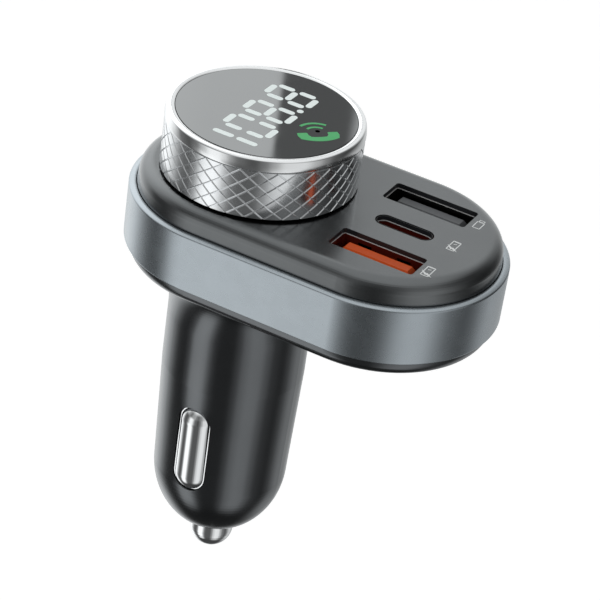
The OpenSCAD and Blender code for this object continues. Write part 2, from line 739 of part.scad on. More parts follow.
// Carrier of the display: a cup in the knob on a keyed neck through the face
module display_carrier() {
    color("black") difference() {
        union() {
            translate([0, 0, cup_z]) cylinder(r = cup_r, h = cup_mid - cup_z);
            translate([0, 0, cup_mid - cut]) cylinder(r = cup_top_r, h = glass_z - cup_mid + cut);
            translate([0, 0, neck_z]) cylinder(r = neck_r, h = cup_z - neck_z + cup_floor / 2);
            for (a = [90, 270]) rotate([0, 0, a]) translate([0, -key_w / 2, clip_top])
                cube([neck_r + key_out, key_w, face_in - clip_top - press_travel]);
        }
        translate([0, 0, cup_z + cup_floor]) cylinder(r = cup_in - ledge_w, h = glass_z);
        translate([0, 0, disc_z]) cylinder(r = cup_in, h = glass_z);
        difference() {
            translate([0, 0, neck_z - cut]) cylinder(r = neck_r - neck_wall, h = cup_z - neck_z + cut);
            translate([0, 0, button_top]) cylinder(r = plunger_r, h = cup_z - button_top + cut);
        }
        translate([0, 0, clip_top - clip_t]) tube(neck_r + 2 * key_out, neck_r - clip_deep, clip_t);
        rotate([0, 0, 90]) detent_pocket(seat_fit);
        for (a = [45:90:315]) rotate([0, 0, a]) translate([neck_r * vent_at_share, 0, cup_z - cut])
            cylinder(r = neck_r * vent_r_share, h = cup_floor + 2 * cut);
    }
}

// Open ring in the neck's groove, with its mouth towards the boss at the head's end
module retaining_ring() {
    mouth = 60;
    ring_r = neck_r + run_fit + collar_wall * 0.8;
    color("silver") translate([0, 0, clip_top - clip_t + seat_fit / 2]) rotate([0, 0, 180 + mouth / 2])
        rotate_extrude(angle = 360 - mouth)
        translate([neck_r - clip_deep + seat_fit, 0]) square([ring_r - neck_r + clip_deep - seat_fit, clip_t - seat_fit]);
}

module display_board() {
    color("darkgreen") translate([0, 0, disc_z]) difference() {
        cylinder(r = disc_r, h = disc_t);
        translate([mic_x, 0, -cut]) cylinder(r = mic_hole_r, h = disc_t + 2 * cut);
    }
}

module bar_at(x, y, l, turn, h) {
    translate([x, y, 0]) rotate([0, 0, turn]) pill_plate(l, segment_t, h);
}

// Every segment of the display: half a digit, three whole digits and the point
module segments(h) {
    for (side = [-1, 1]) bar_at(digit_x + side * digit_half_h * one_share, one_y, one_l, 0, h);
    for (y = digit_ys) {
        for (row = [-1, 1], col = [-1, 1])
            bar_at(digit_x + row * digit_half_h / 2, y + col * digit_half_w, upright_l, 0, h);
        for (row = [-1:1]) bar_at(digit_x + row * digit_half_h, y, crossbar_l, 90, h);
    }
    translate([point_at[0], point_at[1], 0]) cylinder(r = segment_t / 2, h = h);
}

module segment_block() {
    color("white") difference() {
        translate([0, 0, disc_top]) cylinder(r = disc_r, h = block_top - disc_top);
        translate([0, 0, disc_top - cut]) segments(block_top - disc_top + 2 * cut);
        translate([call_x, call_y, disc_top - cut]) cylinder(r = call_r, h = block_top - disc_top + 2 * cut);
    }
}

module display_digits() {
    color("azure") translate([0, 0, block_top - light_t]) segments(light_t);
}

module call_light() {
    color("mediumseagreen") translate([0, 0, block_top - light_t]) difference() {
        translate([call_x, call_y, 0]) cylinder(r = call_r, h = light_t);
        translate([mic_x, 0, -cut]) cylinder(r = mic_hole_r, h = light_t + 2 * cut);
    }
}

led_l = 0.8;
led_w = 0.5;
module display_leds() {
    color("ivory") translate([0, 0, disc_top + led_w / 2]) {
        for (side = [-1, 1]) translate([digit_x + side * digit_half_h / 2, one_y, 0])
            cube([led_l, led_w, led_w], center = true);
        for (y = digit_ys) {
            for (row = [-1, 1], col = [-1, 1])
                translate([digit_x + row * digit_half_h / 2, y + col * digit_half_w, 0])
                    cube([led_l, led_w, led_w], center = true);
            for (row = [-1:1]) translate([digit_x + row * digit_half_h, y, 0])
                cube([led_w, led_l, led_w], center = true);
        }
        translate([call_x, call_y - call_r / 2, 0]) cube([led_l, led_w, led_w], center = true);
    }
}

mic_r = 1.3;
mic_h = 0.9;
module microphone() {
    color("silver") translate([mic_x, 0, disc_z - mic_h]) cylinder(r = mic_r, h = mic_h);
}

hall_w = 1.6;
module hall_sensor() {
    color("black") translate([-cup_in + ledge_w + hall_w, 0, disc_z - hall_w / 4])
        cube([hall_w, hall_w, hall_w / 2], center = true);
}

module display_lens() {
    color("darkslategray") translate([0, 0, glass_z]) difference() {
        cylinder(r = glass_r, h = glass_t);
        translate([mic_x, 0, -cut]) cylinder(r = mic_hole_r, h = glass_t + 2 * cut);
    }
}

// Detent: a bent strip in a pocket under the carrier's cup, whose nose rides over the wheel's teeth
detent_share = 0.74;
detent_w = detent_share * (cup_r - neck_r);
detent_l = 5;
detent_t = 0.2;
detent_deep = 0.6;
detent_nose = 0.5;
module detent_pocket(play) {
    translate([magnet_at, 0, cup_z + detent_deep / 2 - cut / 2])
        cube([detent_w + 2 * play, detent_l + 2 * play, detent_deep + cut], center = true);
}

module detent_spring() {
    top = cup_z + detent_deep;
    color("goldenrod") rotate([0, 0, 90]) translate([magnet_at + detent_w / 2, 0, 0]) rotate([90, 0, -90])
        linear_extrude(height = detent_w) polygon([[-detent_l / 2, top], [-detent_l / 2, top - detent_t],
            [-detent_nose, top - detent_t], [0, wheel_top + seat_fit / 2], [detent_nose, top - detent_t],
            [detent_l / 2, top - detent_t], [detent_l / 2, top]]);
}

module knob_sleeve() {
    bore = cup_r + run_fit;
    top_bore = cup_top_r + run_fit;
    shoulder = cup_mid + seat_fit;
    color("black") rotate_extrude() polygon([[bore, wheel_top], [sleeve_r, wheel_top], [sleeve_r, step_top],
        [top_bore, step_top], [top_bore, shoulder], [bore, shoulder]]);
}

// Diamond knurl: two families of grooves cross at points on level rows, half a pitch apart from
// row to row. Each diamond between four crossings is a raised pad with four sloped sides.
grooves = round(grip_grooves);
half_rows = round(grip_half_rows);
pitch_a = 360 / grooves;
row_h = grip_h / half_rows;
root_r = grip_r - groove_d;
half_pitch_l = grip_r * PI / grooves;
groove_run = sqrt(half_pitch_l * half_pitch_l + row_h * row_h);
inset_a = groove_w / 2 * groove_run / row_h / grip_r * 180 / PI;
inset_z = groove_w / 2 * groove_run / half_pitch_l;
function on_ring(r, a, z) = [r * cos(a), r * sin(a), knob_z + z];
function row_turn(j) = (j % 2) / 2;

module grip_ring() {
    n = grooves;
    m = half_rows;
    crossings = [for (j = [0:m], k = [0:n - 1]) on_ring(root_r, (k + row_turn(j)) * pitch_a, j * row_h)];
    // Four corners of each pad: left, top, right, bottom. On the two end rows the pad is cut in half.
    pads = [for (j = [0:m], k = [0:n - 1]) let (a = (k + row_turn(j)) * pitch_a, z = j * row_h) each [
        on_ring(grip_r, a + inset_a, z), on_ring(grip_r, a + pitch_a / 2, min(m * row_h, z + row_h - inset_z)),
        on_ring(grip_r, a + pitch_a - inset_a, z), on_ring(grip_r, a + pitch_a / 2, max(0, z - row_h + inset_z))]];
    bore = [for (z = [0, grip_h], i = [0:2 * n - 1]) on_ring(grip_in, i * pitch_a / 2, z)];
    pad0 = len(crossings);
    bore0 = pad0 + len(pads);
    function cross_at(j, k) = j * n + (k % n);
    function pad_at(j, k, c) = pad0 + 4 * (j * n + (k % n)) + c;
    function bore_at(end, i) = bore0 + end * 2 * n + (i % (2 * n));
    upper = [for (j = [0:m - 1], k = [0:n - 1]) let (l = cross_at(j, k), r = cross_at(j, k + 1),
        t = cross_at(j + 1, k + j % 2), pl = pad_at(j, k, 0), pt = pad_at(j, k, 1), pr = pad_at(j, k, 2))
        each [[l, t, pt], [l, pt, pl], [t, r, pr], [t, pr, pt], [pl, pt, pr]]];
    lower = [for (j = [1:m], k = [0:n - 1]) let (l = cross_at(j, k), r = cross_at(j, k + 1),
        b = cross_at(j - 1, k + j % 2), pl = pad_at(j, k, 0), pb = pad_at(j, k, 3), pr = pad_at(j, k, 2))
        each [[r, b, pb], [r, pb, pr], [b, l, pl], [b, pl, pb], [pl, pr, pb]]];
    foot = [for (k = [0:n - 1]) let (v = cross_at(0, k), w = cross_at(0, k + 1), pl = pad_at(0, k, 0),
        pr = pad_at(0, k, 2), a = bore_at(0, 2 * k), b = bore_at(0, 2 * k + 1), c = bore_at(0, 2 * k + 2))
        each [[a, v, pl], [a, pl, b], [b, pl, pr], [b, pr, c], [c, pr, w]]];
    head = [for (k = [0:n - 1]) let (s = m % 2, v = cross_at(m, k), w = cross_at(m, k + 1), pl = pad_at(m, k, 0),
        pr = pad_at(m, k, 2), a = bore_at(1, 2 * k + s), b = bore_at(1, 2 * k + s + 1), c = bore_at(1, 2 * k + s + 2))
        each [[pl, v, a], [b, pl, a], [pr, pl, b], [c, pr, b], [w, pr, c]]];
    wall = [for (i = [0:2 * n - 1]) each [[bore_at(0, i), bore_at(0, i + 1), bore_at(1, i + 1)],
        [bore_at(0, i), bore_at(1, i + 1), bore_at(1, i)]]];
    color("silver") polyhedron(concat(crossings, pads, bore), concat(upper, lower, foot, head, wall));
}

module rim_ring() {
    step_r = grip_r - step_d;
    step_in = sleeve_r + seat_fit / 2;
    color("silver") rotate_extrude() polygon(concat([[step_in, grip_top], [step_r, grip_top], [step_r, step_top]],
        arc(rim_r - rim_round, step_top + rim_round, rim_round, -90, 0),
        arc(rim_r - rim_round, rim_top - rim_round, rim_round, 0, 90),
        [[rim_in, rim_top], [rim_in, step_top], [step_in, step_top]]));
}

magnets = 12;
magnet_r = 0.5;
magnet_t = 0.3;
module encoder_wheel() {
    teeth = 24;
    tooth_d = 0.12;
    color("dimgray") difference() {
        translate([0, 0, knob_z]) cylinder(r = sleeve_r, h = wheel_t);
        translate([0, 0, knob_z - cut]) cylinder(r = neck_r + run_fit, h = wheel_t + 2 * cut);
        for (i = [0:magnets - 1]) rotate([0, 0, i * 360 / magnets]) translate([magnet_at, 0, knob_z - cut])
            cylinder(r = magnet_r + seat_fit / 2, h = magnet_t + cut);
        for (i = [0:teeth - 1]) rotate([0, 0, i * 360 / teeth]) translate([magnet_at, 0, wheel_top])
            cube([magnet_r * 2, magnet_r, tooth_d * 2], center = true);
    }
}

module ring_magnets() {
    color("silver") for (i = [0:magnets - 1]) rotate([0, 0, i * 360 / magnets])
        translate([magnet_at, 0, knob_z]) cylinder(r = magnet_r, h = magnet_t);
}

upper_shell();
trim_band();
lower_housing();
main_board();
board_screws();
power_board();
board_header();
inductor();
capacitors();
power_chip();
radio_chip();
crystal();
switch_body();
fast_usb_shell();
fast_usb_tongue();
fast_usb_contacts();
media_usb_shell();
media_usb_tongue();
media_usb_contacts();
usb_c_shell();
usb_c_tongue();
spring_seat();
pin_spring();
display_carrier();
retaining_ring();
display_board();
display_leds();
segment_block();
display_digits();
call_light();
microphone();
hall_sensor();
display_lens();
detent_spring();
switch_button();
knob_sleeve();
grip_ring();
rim_ring();
encoder_wheel();
ring_magnets();
centre_pin();
contact_front();
leaf_front();
contact_back();
leaf_back();
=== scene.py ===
# %% [markdown]
# # A car FM transmitter, dressed for its portrait
#
# The construction is already there: an oval head with a display knob and three USB ports, on a
# barrel that plugs into a 12 V socket. This lesson opens it as a fixed frame, gives every part its
# finish, models the pieces that carry the looks, and lights the whole as a product photographer
# would. Nothing of the frame is moved, so every new piece takes its place from it.

# %% Open the frame
import math
import bpy
from mathutils import Matrix, Vector


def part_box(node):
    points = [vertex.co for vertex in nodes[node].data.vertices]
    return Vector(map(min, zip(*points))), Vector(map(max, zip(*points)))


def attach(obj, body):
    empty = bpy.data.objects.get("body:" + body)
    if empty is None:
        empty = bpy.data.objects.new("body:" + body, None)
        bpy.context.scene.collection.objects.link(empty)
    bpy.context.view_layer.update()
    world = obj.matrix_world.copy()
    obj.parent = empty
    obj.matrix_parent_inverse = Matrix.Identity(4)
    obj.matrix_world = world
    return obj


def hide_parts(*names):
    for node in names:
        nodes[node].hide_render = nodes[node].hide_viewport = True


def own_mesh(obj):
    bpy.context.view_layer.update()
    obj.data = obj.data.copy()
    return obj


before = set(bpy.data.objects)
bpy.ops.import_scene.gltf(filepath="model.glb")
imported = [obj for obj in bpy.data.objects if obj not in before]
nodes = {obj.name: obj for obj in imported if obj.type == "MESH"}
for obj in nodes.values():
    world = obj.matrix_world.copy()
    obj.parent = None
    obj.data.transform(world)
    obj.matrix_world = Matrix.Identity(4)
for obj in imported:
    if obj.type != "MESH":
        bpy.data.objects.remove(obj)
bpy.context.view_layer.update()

MM = 0.001
WELD = 0.002 * MM


# %% [markdown]
# Every operator works on what is selected, and the frame arrives selected. So each step starts by
# letting go of everything and taking hold of one piece. A fresh primitive arrives with its place in
# its object, and `bake_place` moves that into the mesh, which is where a finished piece keeps it.

# %% Take hold of pieces
def let_go():
    if bpy.context.mode != "OBJECT":
        bpy.ops.object.mode_set(mode="OBJECT")
    bpy.ops.object.select_all(action="DESELECT")


def take(piece):
    let_go()
    piece.select_set(True)
    bpy.context.view_layer.objects.active = piece
    return piece


def edit(piece):
    take(piece)
    bpy.ops.object.mode_set(mode="EDIT")
    bpy.ops.mesh.select_mode(type="VERT")
    bpy.ops.mesh.select_all(action="SELECT")


def bake_place(piece):
    take(piece)
    bpy.ops.object.transform_apply(location=True, rotation=True, scale=True)
    return piece


def named(name):
    piece = bpy.context.object
    piece.name = name
    piece.data.name = name
    return piece


# %% [markdown]
# Metal and moulded plastic look real where their edges catch the light: round surfaces shade
# smoothly, and an edge stays an edge. `crisp` shades by angle and then lets the large faces decide
# the shading, so that flat faces stay flat beside a rounding.

# %% Shade a finished piece
SMOOTH_UNDER = math.radians(36)


def crisp(piece):
    take(piece)
    bpy.ops.object.shade_smooth_by_angle(angle=SMOOTH_UNDER)
    modifier = piece.modifiers.new("weighted", "WEIGHTED_NORMAL")
    modifier.keep_sharp = True
    bpy.ops.object.modifier_apply(modifier=modifier.name)
    return piece


def settle(piece, body, slot, finish, *replaced):
    """The last step of every piece: its finish, its body, and the parts that it stands for."""
    piece.data.materials.clear()
    piece.data.materials.append(finish)
    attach(piece, body)
    if replaced:
        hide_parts(*replaced)
    print(piece.name, "faces:", len(piece.data.polygons))
    return piece


# %% [markdown]
# The camera comes before the looks, because it decides what is worth modelling. It was found by
# matching straight and round edges of the object with the picture, so it is given as an aim, a
# distance, two angles and a roll. The lens is long, as in product shots, and keeps the ovals calm.

# %% Set up the camera
AIM = Vector((3.474, 12.378, -3.286)) * MM
DISTANCE = 368.366 * MM
AZIMUTH, ELEVATION, ROLL = (math.radians(a) for a in (24.633, 32.128, 8.532))
LENS_MM = 148.75
SENSOR_MM = 36.0
CLIP_FROM, CLIP_TO = 10 * MM, 50.0
level_out = math.cos(ELEVATION)
back = Vector((math.sin(AZIMUTH) * level_out, -math.cos(AZIMUTH) * level_out, math.sin(ELEVATION)))
right = Vector((math.cos(AZIMUTH), math.sin(AZIMUTH), 0))
up = back.cross(right)
camera_x = math.cos(ROLL) * right + math.sin(ROLL) * up
camera_y = math.cos(ROLL) * up - math.sin(ROLL) * right

let_go()
bpy.ops.object.camera_add()
camera = bpy.context.object
camera.name = "camera"
camera.matrix_world = Matrix.LocRotScale(
    AIM + DISTANCE * back, Matrix((camera_x, camera_y, back)).transposed().to_quaternion(), None)
camera.data.lens = LENS_MM
camera.data.sensor_width = SENSOR_MM
camera.data.clip_start = CLIP_FROM
camera.data.clip_end = CLIP_TO
bpy.context.scene.camera = camera
print("camera at", [round(c / MM, 1) for c in camera.location])


# %% [markdown]
# A finish is never one flat colour. Moulded plastic has a fine grain that catches the light, and
# polished metal has a faint haze and hairlines. One recipe serves all: a large, soft noise drifts
# the colour and the roughness, and a small noise raises a bump. All noises read Object coordinates,
# in metres, so a pattern has its real size and stays on its piece. What is even all over the piece,
# such as how metallic it is, is typed straight on the shader.

# %% A recipe for finishes
# A noise keeps mostly between these two values, so they are stretched to the ends of a range.
NOISE_LOW, NOISE_HIGH = 0.3, 0.7
# A Mix node has inputs and outputs for each kind of data, and these are the ones in use here.
MIX_NUMBERS = (0, 2, 3)
MIX_COLOURS = (6, 7)
MIXED_COLOUR = 2
LACQUER_ROUGH = 0.2


def linear(r, g, b):
    """A colour as it looks on a screen, 0 to 255, as the light values that a shader wants."""
    return tuple(((c / 255 + 0.055) / 1.055) ** 2.4 if c > 10 else c / 255 / 12.92 for c in (r, g, b)) + (1,)


class Recipe:
    """A new material and short ways to add and join its nodes."""
    def __init__(self, name):
        self.material = bpy.data.materials.new(name)
        self.material.use_nodes = True
        self.tree = self.material.node_tree
        self.shader = self.tree.nodes["Principled BSDF"]
        self.place = self.tree.nodes.new("ShaderNodeTexCoord").outputs["Object"]

    def node(self, kind, **settings):
        made = self.tree.nodes.new(kind)
        for key, value in settings.items():
            if key.startswith("in_"):
                made.inputs[key[3:].replace("_", " ")].default_value = value
            else:
                setattr(made, key, value)
        return made

    def link(self, a, b):
        self.tree.links.new(a, b)

    def noise(self, size, stretch=(1, 1, 1), detail=3.0):
        mapping = self.node("ShaderNodeMapping")
        mapping.inputs["Scale"].default_value = tuple(s / size for s in stretch)
        texture = self.node("ShaderNodeTexNoise", in_Scale=1.0, in_Detail=detail)
        self.link(self.place, mapping.inputs["Vector"])
        self.link(mapping.outputs["Vector"], texture.inputs["Vector"])
        return texture.outputs["Fac"]

    def spread(self, value, low, high):
        ranged = self.node("ShaderNodeMapRange", in_From_Min=NOISE_LOW, in_From_Max=NOISE_HIGH,
                           in_To_Min=low, in_To_Max=high)
        self.link(value, ranged.inputs["Value"])
        return ranged.outputs["Result"]


def finish(name, colour, metal=0.0, rough=0.4, drift=0.05, haze=0.04, cloud=6 * MM,
           grain=0.12 * MM, depth=0.004 * MM, stretch=(1, 1, 1), lacquer=0.0):
    """drift and haze are how far colour and roughness wander; cloud and grain are their sizes."""
    r = Recipe(name)
    r.shader.inputs["Metallic"].default_value = metal
    r.shader.inputs["Coat Weight"].default_value = lacquer
    r.shader.inputs["Coat Roughness"].default_value = LACQUER_ROUGH
    cloudy = r.noise(cloud)
    mix = r.node("ShaderNodeMix", data_type="RGBA")
    for socket, level in zip(MIX_COLOURS, (1 - drift, 1 + drift)):
        mix.inputs[socket].default_value = tuple(min(1, c * level) for c in colour[:3]) + (1,)
    r.link(r.spread(cloudy, 0, 1), mix.inputs[0])
    r.link(mix.outputs[MIXED_COLOUR], r.shader.inputs["Base Color"])
    r.link(r.spread(r.noise(cloud / 3), rough - haze, rough + haze), r.shader.inputs["Roughness"])
    bump = r.node("ShaderNodeBump", in_Strength=1.0, in_Distance=depth)
    r.link(r.noise(grain, stretch), bump.inputs["Height"])
    r.link(bump.outputs["Normal"], r.shader.inputs["Normal"])
    return r.material


# %% [markdown]
# The head's shell and the barrel are moulded and then sprayed with a dark satin paint that has fine
# metal flakes, so they reflect like dull metal and not like plain plastic. The band is aluminium
# with a cool grey anodised layer. The knob and the contacts are plated, and only their haze differs.

# %% Finishes that show
shell_paint = finish("shell_paint", linear(108, 110, 111), metal=1.0, rough=0.25, haze=0.015, drift=0.03,
                     depth=0.0003 * MM, lacquer=0.6)
barrel_paint = finish("barrel_paint", linear(105, 107, 109), metal=1.0, rough=0.17, haze=0.015, drift=0.03,
                      depth=0.0003 * MM, lacquer=0.24)
band_metal = finish("band_metal", linear(175, 182, 187), metal=1.0, rough=0.27, haze=0.015, drift=0.015,
                    grain=0.1 * MM, depth=0.0001 * MM, stretch=(0.15, 0.15, 1), lacquer=0.3)
knob_metal = finish("knob_metal", linear(248, 248, 248), metal=1.0, rough=0.14, haze=0.02, drift=0.01,
                    depth=0.0002 * MM)
knurl_metal = finish("knurl_metal", linear(246, 247, 248), metal=1.0, rough=0.2, haze=0.02, drift=0.01,
                     depth=0.0002 * MM)
contact_chrome = finish("contact_chrome", linear(252, 252, 252), metal=1.0, rough=0.04, haze=0.015,
                        drift=0.01, depth=0.0001 * MM)
smoked_glass = finish("smoked_glass", linear(159, 160, 160), metal=1.0, rough=0.03, haze=0.01, drift=0.01,
                      depth=0.0001 * MM, cloud=20 * MM)
orange_plastic = finish("orange_plastic", linear(178, 68, 12), rough=0.55, depth=0.002 * MM)
grey_plastic = finish("grey_plastic", linear(84, 86, 88), rough=0.42, depth=0.002 * MM)
port_metal = finish("port_metal", linear(96, 94, 93), metal=1.0, rough=0.22, haze=0.04,
                    grain=0.1 * MM, depth=0.001 * MM, stretch=(1, 1, 0.1))
# The orange-brown of this metal is a painted reflection of the orange tongue's light, not the metal's own
# colour.
port_metal_painted_reflection = finish("port_metal_painted_reflection", linear(88, 24, 13), metal=0.6, rough=0.3, haze=0.04,
                         grain=0.1 * MM, depth=0.001 * MM, stretch=(1, 1, 0.1))
# The light colour of the hair at each port's edge is a painted highlight, standing for the glint on the
# metal's top edge.
port_edge = finish("port_edge", linear(196, 196, 196), metal=0.4, rough=0.3)
# The near-black of the opening linings is partly their moulded plastic and partly painted shade in the
# recess.
opening_edge = finish("opening_edge", linear(24, 25, 27), rough=0.3, depth=0.001 * MM)
gold_plate = finish("gold_plate", linear(226, 184, 104), metal=1.0, rough=0.2, haze=0.05)

# %% [markdown]
# Inside, the pieces follow what such products use: green fibreglass boards with a faint mottle,
# a matt ferrite coil, aluminium cans and black epoxy chips.

# %% Finishes inside
board_resin = finish("board_resin", linear(26, 92, 58), rough=0.35, drift=0.12, cloud=1.2 * MM)
black_plastic = finish("black_plastic", linear(34, 34, 36), rough=0.45)
steel = finish("steel", linear(190, 190, 188), metal=1.0, rough=0.25, haze=0.06)
ferrite = finish("ferrite", linear(58, 58, 60), rough=0.75, drift=0.12, grain=0.2 * MM, depth=0.01 * MM)
can_aluminium = finish("can_aluminium", linear(208, 210, 212), metal=1.0, rough=0.3, haze=0.05)
spring_brass = finish("spring_brass", linear(214, 178, 96), metal=1.0, rough=0.24, haze=0.05)
light_plastic = finish("light_plastic", linear(232, 238, 236), rough=0.5)
block_plastic = finish("block_plastic", linear(226, 226, 222), rough=0.55)
green_plastic = finish("green_plastic", linear(80, 176, 116), rough=0.45)
magnet_metal = finish("magnet_metal", linear(178, 180, 182), metal=1.0, rough=0.2, haze=0.05)


# %% [markdown]
# Each part of the frame names the slot of its finish. The barrel's paint is a little darker and
# smoother than the shell's. Two of the ports look warm inside, from the orange tongue's light, so
# their shells take an orange-brown metal: a painted reflection of that light, not their own colour.

# %% Give the frame its finishes
PORTS_WITH_PAINTED_REFLECTION = ("fast_usb_shell", "usb_c_shell")
FINISH_OF_SLOT = {
    "shell_paint": shell_paint, "band_metal": band_metal, "housing_plastic": barrel_paint,
    "board_resin": board_resin, "steel": steel, "black_plastic": black_plastic, "ferrite": ferrite,
    "can_aluminium": can_aluminium, "port_metal": port_metal, "orange_plastic": orange_plastic,
    "grey_plastic": grey_plastic, "gold_plate": gold_plate, "spring_brass": spring_brass,
    "light_plastic": light_plastic, "block_plastic": block_plastic, "green_plastic": green_plastic,
    "smoked_glass": smoked_glass, "knob_metal": knob_metal, "magnet_metal": magnet_metal,
    "contact_chrome": contact_chrome,
}
for part in nodes.values():
    for place in part.material_slots:
        place.material = FINISH_OF_SLOT[place.material.name.split(".")[0]]
# These two shells get the painted reflection of the orange light.
for name in PORTS_WITH_PAINTED_REFLECTION:
    nodes[name].material_slots[0].material = port_metal_painted_reflection
print("finishes given to", len(nodes), "parts")


# %% [markdown]
# The knurled grip is the piece that the eye goes to. The real one is cut by two wheels that roll
# helical grooves into the ring, which leaves diamond pads that still follow the cylinder. One pad is
# modelled flat: a diamond, subdivided so that it can curve later, and inset for the slopes of the
# grooves round it. An array stacks the pads, a shifted copy fills the rows between, and a second
# array lays them all out as a strip. The strip is cut level at both ends and wrapped round the axis.
# Wrapping by formula closes the seam exactly.

# %% Measure the grip
grip_low, grip_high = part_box("grip_ring")
GRIP_R = grip_high.x
GRIP_DROP = 0.08 * MM
GRIP_Z = grip_low.z - GRIP_DROP
GRIP_H = grip_high.z - GRIP_Z
GROOVES = 34
HALF_ROWS = 7
GROOVE_W = 0.25 * MM
GROOVE_D = 0.15 * MM
GRIP_WALL = 0.65 * MM
PAD_CUTS = 3
KNURL_SMOOTH_UNDER = math.radians(28)
root_r = GRIP_R - GROOVE_D
pitch = 2 * math.pi * GRIP_R / GROOVES
row_h = GRIP_H / HALF_ROWS
print("pad:", round(pitch / MM, 2), "by", round(2 * row_h / MM, 2), "mm")


# %% Model one pad
def knurl_pad():
    let_go()
    bpy.ops.mesh.primitive_circle_add(vertices=4, radius=1, fill_type="NGON")
    pad = named("grip_knurl")
    pad.scale = (pitch / 2, row_h, 1)
    bake_place(pad)
    edit(pad)
    bpy.ops.mesh.subdivide(number_cuts=PAD_CUTS)
    bpy.ops.mesh.select_mode(type="FACE")
    bpy.ops.mesh.select_all(action="SELECT")
    bpy.ops.mesh.inset(thickness=GROOVE_W / 2, use_boundary=True)
    bpy.ops.transform.translate(value=(0, 0, GROOVE_D))
    bpy.ops.object.mode_set(mode="OBJECT")
    return pad


def repeat(piece, count, step):
    take(piece)
    array = piece.modifiers.new("array", "ARRAY")
    array.count = count
    array.use_relative_offset = False
    array.use_constant_offset = True
    array.constant_offset_displace = step
    bpy.ops.object.modifier_apply(modifier=array.name)


grip = knurl_pad()
repeat(grip, HALF_ROWS // 2 + 1, (0, 2 * row_h, 0))
take(grip)
bpy.ops.object.duplicate()
shifted = bpy.context.object
shifted.location = (pitch / 2, row_h, 0)
bake_place(shifted)
grip.select_set(True)
bpy.context.view_layer.objects.active = grip
bpy.ops.object.join()
repeat(grip, GROOVES, (pitch, 0, 0))
print("strip of", len(grip.data.polygons), "faces")

# %% Trim the strip and give it a wall
edit(grip)
bpy.ops.mesh.remove_doubles(threshold=WELD)
for level, side in ((0.0, -1), (GRIP_H, 1)):
    bpy.ops.mesh.select_all(action="SELECT")
    bpy.ops.mesh.bisect(plane_co=(0, level, 0), plane_no=(0, side, 0), clear_outer=True)
bpy.ops.object.mode_set(mode="OBJECT")


def wrap(piece, radius, z0):
    """Lays a flat strip round the axis: x runs along the ring, y up, and z out from the radius."""
    for v in piece.data.vertices:
        turn = v.co.x / GRIP_R
        r = radius + v.co.z
        v.co = (r * math.cos(turn), r * math.sin(turn), z0 + v.co.y)


wrap(grip, root_r, GRIP_Z)
edit(grip)
bpy.ops.mesh.remove_doubles(threshold=WELD)
bpy.ops.mesh.select_all(action="DESELECT")
bpy.ops.mesh.select_non_manifold()
bpy.ops.mesh.extrude_edges_move()
bpy.ops.object.mode_set(mode="OBJECT")
bore_r = GRIP_R - GRIP_WALL
for v in grip.data.vertices:
    if v.select:
        v.co.xy = v.co.xy.normalized() * bore_r
edit(grip)
bpy.ops.mesh.select_all(action="DESELECT")
bpy.ops.mesh.select_non_manifold()
bpy.ops.mesh.bridge_edge_loops()
bpy.ops.mesh.select_all(action="SELECT")
bpy.ops.mesh.normals_make_consistent(inside=False)
bpy.ops.object.mode_set(mode="OBJECT")
take(grip)
bpy.ops.object.shade_smooth_by_angle(angle=KNURL_SMOOTH_UNDER)
settle(grip, "knob", "knob_metal", knurl_metal, "grip_ring")


# %% [markdown]
# Rings are turned on a lathe, and the same is done here: a circle is extruded from point to point
# of its profile, up by a step and wider or narrower by a share, until the profile closes.

# %% A lathe
TURNED_SIDES = 180


def turned(name, profile):
    """profile holds (radius, height) in millimetres, counterclockwise as seen with the axis left."""
    let_go()
    r, z = profile[0]
    bpy.ops.mesh.primitive_circle_add(vertices=TURNED_SIDES, radius=r * MM, location=(0, 0, z * MM))
    ring = bake_place(named(name))
    edit(ring)
    for next_r, next_z in [*profile[1:], profile[0]]:
        bpy.ops.mesh.extrude_edges_move(TRANSFORM_OT_translate={"value": (0, 0, (next_z - z) * MM)})
        share = next_r / r
        bpy.ops.transform.resize(value=(share, share, 1), center_override=(0, 0, next_z * MM))
        r, z = next_r, next_z
    bpy.ops.mesh.select_all(action="SELECT")
    bpy.ops.mesh.remove_doubles(threshold=WELD)
    bpy.ops.mesh.normals_make_consistent(inside=False)
    bpy.ops.object.mode_set(mode="OBJECT")
    return ring


def arc(r, z, radius, start, end, steps=8):
    """Points of a rounding in a profile, from one angle to another, in degrees."""
    angles = [math.radians(start + (end - start) * i / steps) for i in range(steps + 1)]
    return [(r + radius * math.cos(a), z + radius * math.sin(a)) for a in angles]


# %% [markdown]
# The polished ring round the display has a face that falls a little to the outside, a round shoulder
# and a softly swelling side, which leans in as it rises. Its foot turns in where it meets the knurl.
# The swelling is what spreads the light up and down the side, where a straight wall would show one
# flat stripe.

# %% Turn the rim
rim_low, rim_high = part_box("rim_ring")
RIM_R = rim_high.x / MM
RIM_TOP = rim_high.z / MM
STEP_Z = rim_low.z / MM
STEP_R = RIM_R - 0.45
RIM_IN = RIM_R - 1.27
SLEEVE_R = 13.35
SEAT_H = 0.5
FOOT_TURN = 0.28
FOOT_START, FOOT_STEPS = -80, 5
SWELL_R = 6.17
SWELL_START, SWELL_END = 1, 12
SHOULDER = 0.36
SHOULDER_START, SHOULDER_END = 18, 78
